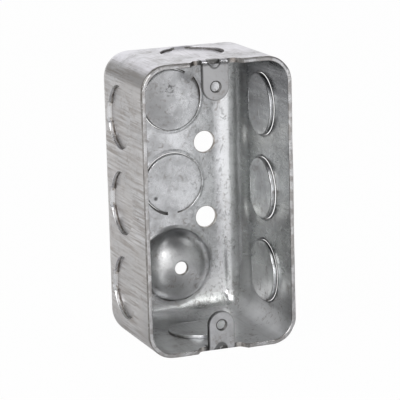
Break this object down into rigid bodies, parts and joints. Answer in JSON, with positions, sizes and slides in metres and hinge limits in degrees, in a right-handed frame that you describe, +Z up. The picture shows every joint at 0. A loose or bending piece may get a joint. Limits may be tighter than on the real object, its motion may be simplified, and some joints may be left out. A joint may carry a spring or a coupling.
{
  "type": "rectangular electrical box",
  "caption": "Drawn steel utility box with round corners, open at the front, with round knockouts, device ears and a raised ground boss.",
  "frame": {"origin": "centre of the bounding box in X and Y, at the height of the lower end wall's outer face", "axes": "+Z up along the box's long side, the open front faces -Y, +X to the right seen from the front"},
  "size_m": [0.0548, 0.0476, 0.1016],
  "materials": {
    "box_shell": "zinc coated, dull satin with scuffs and draw marks"
  },
  "bodies": {
    "root": {"box_shell": "box_shell"}
  },
  "joints": []
}
